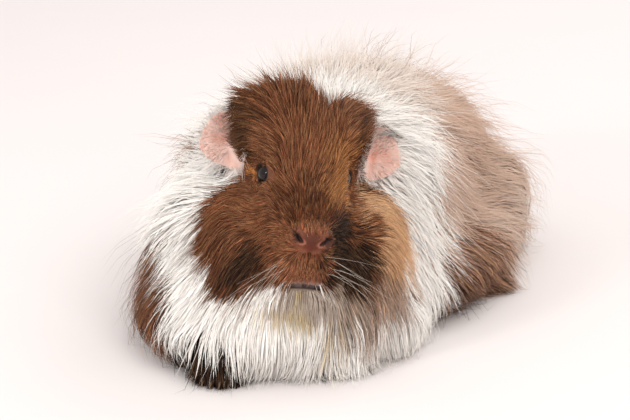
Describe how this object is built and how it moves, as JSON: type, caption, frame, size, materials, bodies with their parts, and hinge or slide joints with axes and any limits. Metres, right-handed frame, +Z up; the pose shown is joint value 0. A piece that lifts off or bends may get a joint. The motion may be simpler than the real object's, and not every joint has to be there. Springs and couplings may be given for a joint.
{
  "type": "guinea pig",
  "caption": "Life-size long-haired guinea pig, lying still with its feet tucked under and its head turned a little to its left.",
  "frame": {"origin": "on the ground, under the middle of the animal's bounding box", "axes": "+Z up, the head towards -Y, the animal's left towards +X"},
  "size_m": [0.158, 0.2867, 0.1112],
  "materials": {
    "brown_fur": "soft long hair, chocolate brown",
    "white_fur": "soft long hair, warm white",
    "tan_fur": "soft long hair, tan and cream over brown",
    "dark_fur": "short dark brown hair, with horn-coloured claws",
    "pink_skin": "bare pink skin",
    "eye_glass": "wet, nearly black"
  },
  "bodies": {
    "root": {"head": "brown_fur", "muzzle": "brown_fur", "lower_jaw": "white_fur", "nose_pad": "pink_skin", "ear_right": "pink_skin", "ear_left": "pink_skin", "eye_right": "eye_glass", "eye_left": "eye_glass", "neck": "white_fur", "chest": "white_fur", "shoulders": "tan_fur", "barrel": "tan_fur", "rump": "tan_fur", "foreleg_right": "brown_fur", "foreleg_left": "brown_fur", "hindleg_right": "brown_fur", "hindleg_left": "brown_fur", "forefoot_right": "dark_fur", "forefoot_left": "dark_fur", "hindfoot_right": "dark_fur", "hindfoot_left": "dark_fur"}
  },
  "joints": []
}
